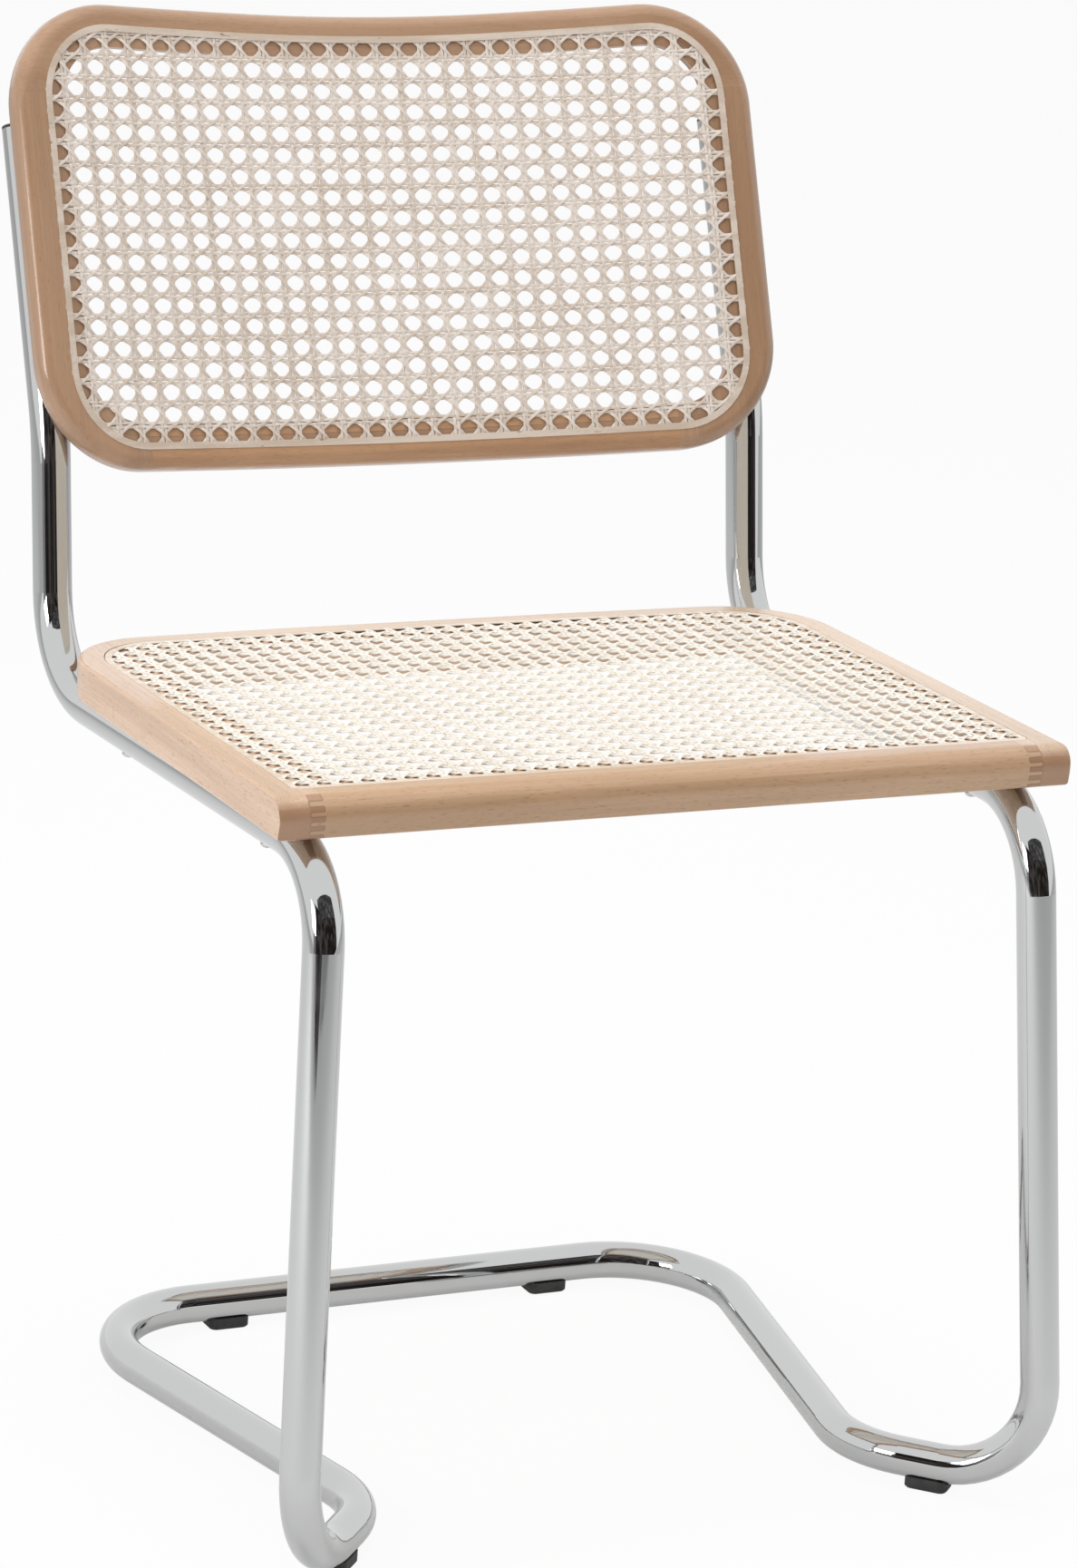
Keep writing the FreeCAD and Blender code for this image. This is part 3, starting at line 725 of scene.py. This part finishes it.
# %% [markdown]
# Woven cane is four families of thin strips. Each family is one shaped repeat, laid out by array modifiers.
# The repeat starts as a flat grid. Its rows are moved one after the other to their place and height, and the
# middle of the strip is raised a little, because the skin of the vine is rounder on its outer face.

# %% One repeat of a strip
strip_thickness = 0.55 * mm
crown = 0.16 * mm
crown_share = 0.45
row_reach = 0.2
out_of_the_way = 1.0


def sideways(share, sway):
    return sway * math.sin(2 * math.pi * share)


def strip_repeat(width, length, rows, across, sway=0.0):
    """A ribbon along Y through (share of its length, height) rows, swaying sideways once."""
    steps = len(rows) - 1
    start_fresh()
    bpy.ops.mesh.primitive_grid_add(x_subdivisions=across, y_subdivisions=steps, size=1)
    ribbon = bpy.context.object
    edit(ribbon)
    select_everything()
    bpy.ops.transform.resize(value=(width, 1, 1))
    # A row that has been moved waits far above, so that it isn't taken again with its neighbour.
    for index, (share, height) in enumerate(rows):
        even = index / steps - 0.5
        select_points(ribbon, lambda co: (abs(co.y - even) < row_reach / steps
                                          and abs(co.z) < out_of_the_way / 2))
        bpy.ops.transform.translate(value=(sideways(share, sway), share - even, height + out_of_the_way))
    select_everything()
    bpy.ops.transform.translate(value=(0, 0, -out_of_the_way))
    select_points(ribbon, lambda co: abs(co.x - sideways(co.y, sway)) < width * crown_share)
    bpy.ops.transform.translate(value=(0, 0, crown))
    select_everything()
    bpy.ops.transform.resize(value=(1, length, 1), center_override=(0, 0, 0))
    done_editing()
    return ribbon


print("strip:", round(strip_thickness / mm, 2), "mm thick")

# %% [markdown]
# Laying out is the array modifier's work: one array for the columns and one for the rows. The ends of the
# repeats meet exactly, so welding the points that coincide makes continuous strips of them.

# %% Lay out a family
weld_reach = 0.01 * mm


def lay_out(piece, pitch, counts):
    """Fills a sheet with copies of one repeat, centred on the origin, and welds their ends."""
    for axis in (0, 1):
        shift = [0, 0, 0]
        shift[axis] = pitch[axis]
        modify(piece, "ARRAY", count=counts[axis], use_relative_offset=False, use_constant_offset=True,
               constant_offset_displace=shift)
    piece.location = (-pitch[0] * (counts[0] - 1) / 2, -pitch[1] * (counts[1] - 1) / 2, 0)
    settle(piece)
    edit(piece)
    select_everything()
    bpy.ops.mesh.remove_doubles(threshold=weld_reach)
    done_editing()


def weave(lane, name, turn, spot, pitch, counts):
    """Turns and places one repeat, then lays it out over the whole sheet."""
    lane.rotation_euler.z = turn
    lane.location = (*spot, 0)
    settle(lane)
    lay_out(lane, pitch, counts)
    return rename(lane, name)


print("weld reach:", round(weld_reach / mm, 3), "mm")

# %% [markdown]
# Upright pairs and level pairs weave over and under each other; slanting strips lock them from both faces.
# The slanting strips cross over the middle of each pair, which leaves the round-looking, eight-sided holes.
# Flat strips with a painted weave would be lighter, but the seat is seen from close by and from the side,
# so every crossing is a true over and under.

# %% The four families of one sheet
def pair_rows(near, order):
    """One strip of a pair: over one crossing strip, then under the other."""
    lift = order * strip_thickness / 2
    far = 1.9 * near
    return [(-0.5, 0), (-0.31, 0.3 * lift), (-far, 0.85 * lift), (-near, lift), (0, 0),
            (near, -lift), (far, -0.85 * lift), (0.31, -0.3 * lift), (0.5, 0)]


def slant_rows(order):
    """A slanting strip: past one pair on one face, then past the next on the other face."""
    top = order * strip_thickness
    part = 0.62 * top
    return [(-0.5, top), (-0.385, top), (-0.31, part), (-0.25, 0), (-0.19, -part), (-0.115, -top),
            (0, -top), (0.115, -top), (0.19, -part), (0.25, 0), (0.31, part), (0.385, top), (0.5, top)]


def cane_sheet(name, pitch, counts, pair_half, widths, across, sway):
    """Uprights along Y, levels along X and two slanting families, flat and centred on the origin."""
    upright_width, level_width, slant_width = widths
    sheet = []
    for side, label in ((-1, "left_uprights"), (1, "right_uprights")):
        lane = strip_repeat(upright_width, pitch[1], pair_rows(pair_half / pitch[1], -side), across)
        lane = weave(lane, name + "_" + label, 0, (side * pair_half, 0), pitch, counts)
        sheet.append(("upright", lane))
    for side, label in ((-1, "near_levels"), (1, "far_levels")):
        lane = strip_repeat(level_width, pitch[0], pair_rows(pair_half / pitch[0], side), across)
        lane = weave(lane, name + "_" + label, -math.pi / 2, (0, side * pair_half), pitch, counts)
        sheet.append(("level", lane))
    for label, sign in (("rising", 1), ("falling", -1)):
        lane = strip_repeat(slant_width, math.hypot(*pitch), slant_rows(-sign), across, sign * sway)
        lane = weave(lane, name + "_" + label, -sign * slant_lean(pitch), (pitch[0] / 2, 0), pitch, counts)
        sheet.append((label, lane))
    return sheet


print("rows of a slanting repeat:", len(slant_rows(1)))

# %% [markdown]
# A sheet is cut to the outline that its reed covers, so the reed hides the cut ends.
# A boolean cutter would be slow on so many strips, so a test on the place of each face does the cutting.
# Both openings are rounded rectangles, and one edge of each follows a shallow vee with a rounded point.

# %% Cut a sheet to its outline
trim_margin = 3 * mm
trim_cuts = 4


def shallow_vee(x, half, rise, radius):
    """Height above a straight edge of a shallow vee with a rounded point at its middle."""
    slope = rise / half
    reach = radius * slope
    if abs(x) > reach:
        return rise * (1 - abs(x) / half)
    return rise * (1 - reach / half) + (reach ** 2 - x * x) / (2 * radius)


def past_rounded(x, y, half_x, half_y, corner):
    """How far a point lies outside a rounded rectangle centred on the origin; inside it's negative."""
    dx, dy = abs(x) - (half_x - corner), abs(y) - (half_y - corner)
    return math.hypot(max(dx, 0), max(dy, 0)) + min(max(dx, dy), 0) - corner


def trim(piece, outside):
    """Cuts the faces near the outline finer, then deletes those outside it."""
    edit(piece)
    select_faces(piece, lambda middle: outside(middle) > trim_margin)
    bpy.ops.mesh.delete(type="FACE")
    select_faces(piece, lambda middle: outside(middle) > -trim_margin)
    bpy.ops.mesh.subdivide(number_cuts=trim_cuts)
    select_faces(piece, lambda middle: outside(middle) > 0)
    bpy.ops.mesh.delete(type="FACE")
    done_editing()


print("trim margin:", trim_margin, "m")

# %% [markdown]
# No strip lies quite straight. A slow ripple moves all strips sideways in the plane of the sheet, the same
# way at the same place, so they waver without cutting through each other. Flat ribbons then get thickness.

# %% Ripple and thicken
ripple_noise = bpy.data.textures.new("strip_ripple", "CLOUDS")
ripple_noise.noise_scale = 0.012
strip_smooth_angle = math.radians(50)


def ripple(piece, directions, strength):
    for direction in directions:
        modify(piece, "DISPLACE", texture=ripple_noise, texture_coords="LOCAL", direction=direction,
               strength=strength, mid_level=0.5)


def thicken(piece):
    modify(piece, "SOLIDIFY", thickness=strip_thickness, offset=0.0)
    take(piece)
    bpy.ops.object.shade_smooth_by_angle(angle=strip_smooth_angle)


print("ripple noise:", ripple_noise.noise_scale, "m")

# %% [markdown]
# The wooden back is bent round an upright axis in front of it, and it's raked. A piece of the back is first
# made flat and then bent and raked in the same way, so that it meets the wood everywhere.
# Its sheet ends under the reed, and the reed rests on the face of the wood, just outside the opening.

# %% Where the back's sheet lies
back_width, back_curve_r = 0.505, 1.224
back_middle = Vector((0, 0.2316, 0.684))
back_dip, back_dip_r = 9 * mm, 2.4
back_reed_half = (232.45 * mm, 128.9 * mm)
back_reed_corner = 46.5 * mm
back_reed_drop = 1.1 * mm
back_tuck = 0.3 * mm


def bend_to_back(piece):
    xs = [point.co.x for point in piece.data.vertices]
    modify(piece, "SIMPLE_DEFORM", deform_method="BEND", deform_axis="Z",
           angle=-(max(xs) - min(xs)) / back_curve_r)


def hang_on_back(piece):
    """From the panel's own frame to its raked place."""
    piece.rotation_euler = (-back_lean, 0, 0)
    piece.location = back_middle
    settle(piece)


def back_edge_drop(x, z):
    return shallow_vee(x, back_width / 2, back_dip, back_dip_r) if z > 0 else 0


def past_back(co):
    half_x, half_z = (half + back_tuck for half in back_reed_half)
    level = co.z + back_reed_drop
    below_dip = level + back_edge_drop(co.x, level)
    return past_rounded(co.x, below_dip, half_x, half_z, back_reed_corner + back_tuck)


print("half size of the back's opening:", back_reed_half)

# %% [markdown]
# Each finished piece gets its material and is told which body it rides on, and the CAD node it stands for is
# hidden.
# The back's cane is darker than the seat's, and its narrower strips leave larger holes.
# Its repeats are a little wider than high, because the sheet is stretched sideways.

# %% Cane of the back
BACK_CANE, BACK_CANE_DARK = (0.79, 0.71, 0.645), (0.62, 0.525, 0.44)
back_face = -9.5 * mm
sheet_depth = 0.8 * mm
back_pitch = (15.8 * mm, 13.36 * mm)
back_counts = (33, 22)
back_rows_drop = -4.6 * mm
back_pair_half = 1.15 * mm
back_strip_widths = (1.88 * mm, 1.64 * mm, 1.78 * mm)
back_across = 3
back_sway = 0.6 * mm
back_ripple = 1.3 * mm


def finish(piece, material, node):
    piece.data.materials.append(material)
    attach(piece, "root")
    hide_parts(node)
    print(piece.name, len(piece.data.polygons), "faces")


back_strips = cane_sheet("back_cane", back_pitch, back_counts, back_pair_half, back_strip_widths,
                         back_across, back_sway)
back_finish = {family: cane("back_" + family + "_cane", BACK_CANE, BACK_CANE_DARK, (back_lean, turn, 0))
               for family, turn in family_turns(back_pitch).items()}
for family, piece in back_strips:
    piece.rotation_euler.x = math.pi / 2
    piece.location = (0, back_face + sheet_depth, back_rows_drop)
    settle(piece)
    ripple(piece, ("X", "Z"), back_ripple)
    bend_to_back(piece)
    trim(piece, past_back)
    thicken(piece)
    hang_on_back(piece)
    finish(piece, back_finish[family], "back_cane")

# %% [markdown]
# The seat's opening narrows towards the back, where its edge bows out in a shallow vee.
# Its front corners are nearly square and its rear corners wide, like the groove in the wood.
# The sheet reaches a little past the groove's inner edge, so the reed pressed into the groove hides its end.

# %% Where the seat's sheet lies
seat_inner_half = (236.4 * mm, 157.9 * mm)
seat_inner_middle = 185.5 * mm
seat_taper = 2.5 * mm / 0.36
seat_bow, seat_bow_r = 6 * mm, 5.2
seat_rear_corner, seat_front_corner = 41.9 * mm, 3.2 * mm
seat_tuck = 1.2 * mm


def seat_edge_bow(x, y):
    return shallow_vee(x, seat_width / 2, seat_bow, seat_bow_r) if y > 0 else 0


def past_seat(co):
    half_x, half_y = (half + seat_tuck for half in seat_inner_half)
    y = co.y - seat_inner_middle
    return past_rounded(co.x, y - seat_edge_bow(co.x, y), half_x - seat_taper * max(co.y, 0), half_y,
                        seat_rear_corner if y > 0 else seat_front_corner)


def lay_on_seat(piece):
    """From the seat's own plane to its place on the rails."""
    piece.rotation_euler = (-seat_slope, 0, 0)
    piece.location = seat_corner
    settle(piece)


print("half size of the seat's opening:", seat_inner_half)

# %% [markdown]
# The seat's cane is the palest material of the chair. Its repeats are nearly square, its strips are a
# little wider than the back's, and they waver less. Its holes are seen at a slant, so fewer columns of faces
# in each strip are enough, which keeps this larger sheet light.

# %% Cane of the seat
SEAT_CANE, SEAT_CANE_DARK = (0.94, 0.905, 0.845), (0.82, 0.755, 0.665)
seat_pitch = (13.58 * mm, 13.71 * mm)
seat_counts = (38, 27)
seat_rows_middle = 189.3 * mm
seat_pair_half = 1.12 * mm
seat_strip_widths = (1.95 * mm, 1.9 * mm, 2.0 * mm)
seat_across = 2
seat_sway = 0.45 * mm
seat_ripple = 1.0 * mm

seat_strips = cane_sheet("seat_cane", seat_pitch, seat_counts, seat_pair_half, seat_strip_widths,
                         seat_across, seat_sway)
seat_finish = {family: cane("seat_" + family + "_cane", SEAT_CANE, SEAT_CANE_DARK, (seat_slope, 0, -turn))
               for family, turn in family_turns(seat_pitch).items()}
for family, piece in seat_strips:
    piece.location = (0, seat_rows_middle, seat_top - sheet_depth)
    settle(piece)
    ripple(piece, ("X", "Y"), seat_ripple)
    trim(piece, past_seat)
    thicken(piece)
    lay_on_seat(piece)
    finish(piece, seat_finish[family], "seat_cane")

# %% [markdown]
# A reed locks the edge of each sheet. Its outline starts as a plane whose corners are rounded. The long
# edges are cut finely, so that they can follow the vee and the bend, and every point is moved to its place.

# %% Outline of an opening
corner_segments = 14
edge_to_cut = 60 * mm
edge_cuts = 60
side_reach = 0.1 * mm
point_reach = 0.005 * mm


def outline(half, near_corner, far_corner, shift):
    """A face with rounded corners and finely cut edges, whose points then move by shift(x, y)."""
    start_fresh()
    bpy.ops.mesh.primitive_plane_add(size=2)
    sheet = bpy.context.object
    edit(sheet)
    select_everything()
    bpy.ops.transform.resize(value=(half[0], half[1], 1))
    for side, radius in ((-1, near_corner), (1, far_corner)):
        select_points(sheet, lambda co: side * co.y > half[1] - side_reach)
        bpy.ops.mesh.bevel(offset=radius, offset_type="ABSOLUTE", segments=corner_segments,
                           affect="VERTICES")
    select_everything()
    bpy.ops.mesh.delete(type="ONLY_FACE")
    cut_long_edges(sheet)
    form = bmesh.from_edit_mesh(sheet.data)
    for x, y in [point.co.xy[:] for point in form.verts]:
        select_points(sheet, lambda co: math.hypot(co.x - x, co.y - y) < point_reach)
        bpy.ops.transform.translate(value=(*shift(x, y), 0))
    select_everything()
    bpy.ops.mesh.edge_face_add()
    done_editing()
    return sheet


def cut_long_edges(sheet):
    """In edit mode, cuts the straight sides of an outline finely."""
    select_everything()
    form = bmesh.from_edit_mesh(sheet.data)
    for edge in form.edges:
        edge.select = edge.calc_length() > edge_to_cut
    bmesh.update_edit_mesh(sheet.data)
    bpy.ops.mesh.subdivide(number_cuts=edge_cuts)


print("outline:", corner_segments, "segments in a corner")

# %% [markdown]
# The middle of the outline is cut away, and the ring that is left becomes the reed. Its top is crowned by
# three insets, each a little higher than the last. A curve with a round bevel would be quicker, but a
# pressed reed is flatter than round.

# %% Make a ring of an outline
reed_clearance = 0.25 * mm
reed_overlap = 1.0 * mm
reed_side = 0.5 * mm
reed_steps = ((0.25 * mm, 0.42 * mm), (0.45 * mm, 0.28 * mm), (0.55 * mm, 0.1 * mm))
reed_top_share = 0.9
reed_smooth_angle = math.radians(70)


def crown_reed(sheet, width, steps):
    """Turns an outline face into a closed ring whose top rises in (inset, rise) steps."""
    edit(sheet)
    select_everything()
    bpy.ops.mesh.inset(thickness=width)
    bpy.ops.mesh.delete(type="FACE")
    select_everything()
    bpy.ops.mesh.extrude_region_move(TRANSFORM_OT_translate={"value": (0, 0, reed_side)})
    select_everything()
    bpy.ops.mesh.normals_make_consistent(inside=False)
    select_faces(sheet, lambda middle: middle.z > reed_side * reed_top_share)
    for step, rise in steps:
        bpy.ops.mesh.inset(thickness=step, depth=rise)
    done_editing()
    take(sheet)
    bpy.ops.object.shade_smooth_by_angle(angle=reed_smooth_angle)


def reed_ring(name, half, corners, width, shift, overlap=reed_overlap, steps=reed_steps):
    """A ring of a groove's width round an opening, reaching over the sheet by the overlap."""
    outer = [side + width - reed_clearance for side in half]
    ring = outline(outer, *(corner - reed_clearance for corner in corners), shift)
    crown_reed(ring, width - reed_clearance + overlap, steps)
    return rename(ring, name)


print("reed rises in", len(reed_steps), "steps")

# %% [markdown]
# The back's reed lies on the face of the wood, round the edge of the sheet.
# The groove in the CAD wood lies farther in than the real reed. A flat beech ring, made with the same tools,
# fills that groove below the sheet, so brown wood shows through the half-holes beside the reed.

# %% Reed of the back and the ring under it
BACK_REED, BACK_REED_DARK = (0.68, 0.585, 0.5), (0.57, 0.46, 0.365)
back_reed_width = 3.45 * mm
back_reed_depth = 0.05 * mm
back_inner_half = (228.1 * mm, 125.1 * mm)
back_inner_corner = 43.6 * mm
back_groove_width = 4.4 * mm
bed_steps = ((0.1 * mm, 0.1 * mm),)
bed_overlap = -0.05 * mm
bed_depth = 2.25 * mm
bed_grain_shift = 8.8


def dip_with_back(x, y):
    return (0, -back_edge_drop(x, y))


def round_the_back(name, half, corner, width, overlap, steps, depth, drop):
    """A ring that follows the back's opening, bent and raked with it."""
    outer_corner = corner + width
    ring = reed_ring(name, half, (outer_corner, outer_corner), width, dip_with_back, overlap, steps)
    ring.rotation_euler.x = math.pi / 2
    ring.location = (0, back_face + depth, -drop)
    settle(ring)
    bend_to_back(ring)
    hang_on_back(ring)
    return ring


back_reed = round_the_back("back_reed", back_reed_half, back_reed_corner, back_reed_width, reed_overlap,
                           reed_steps, back_reed_depth, back_reed_drop)
finish(back_reed, cane("back_reed_cane", BACK_REED, BACK_REED_DARK, (back_lean, 0, 0), reed_scars),
       "back_spline")
back_bed = round_the_back("back_reed_bed", back_inner_half, back_inner_corner, back_groove_width,
                          bed_overlap, bed_steps, bed_depth, 0)
finish(back_bed, beech("back_bed_beech", TAN_BEECH, along_x, bed_grain_shift), "back_spline")

# %% [markdown]
# The seat's reed is pressed into the groove, so only its crown stands above the wood.
# Its sides draw in towards the back and its rear edge bows, as the opening does.

# %% Reed of the seat
SEAT_REED, SEAT_REED_DARK = (0.8, 0.7, 0.585), (0.68, 0.55, 0.43)
seat_reed_width = 3.6 * mm
seat_reed_corners = (5.0 * mm, seat_rear_corner + seat_reed_width)
seat_reed_sunk = 0.55 * mm


def follow_seat(x, y):
    far = y + seat_inner_middle
    return (-math.copysign(seat_taper * max(far, 0), x), seat_edge_bow(x, y))


seat_reed = reed_ring("seat_reed", seat_inner_half, seat_reed_corners, seat_reed_width, follow_seat)
seat_reed.location = (0, seat_inner_middle, seat_top - seat_reed_sunk)
settle(seat_reed)
lay_on_seat(seat_reed)
finish(seat_reed, cane("seat_reed_cane", SEAT_REED, SEAT_REED_DARK, (seat_slope, 0, 0), reed_scars),
       "seat_spline")
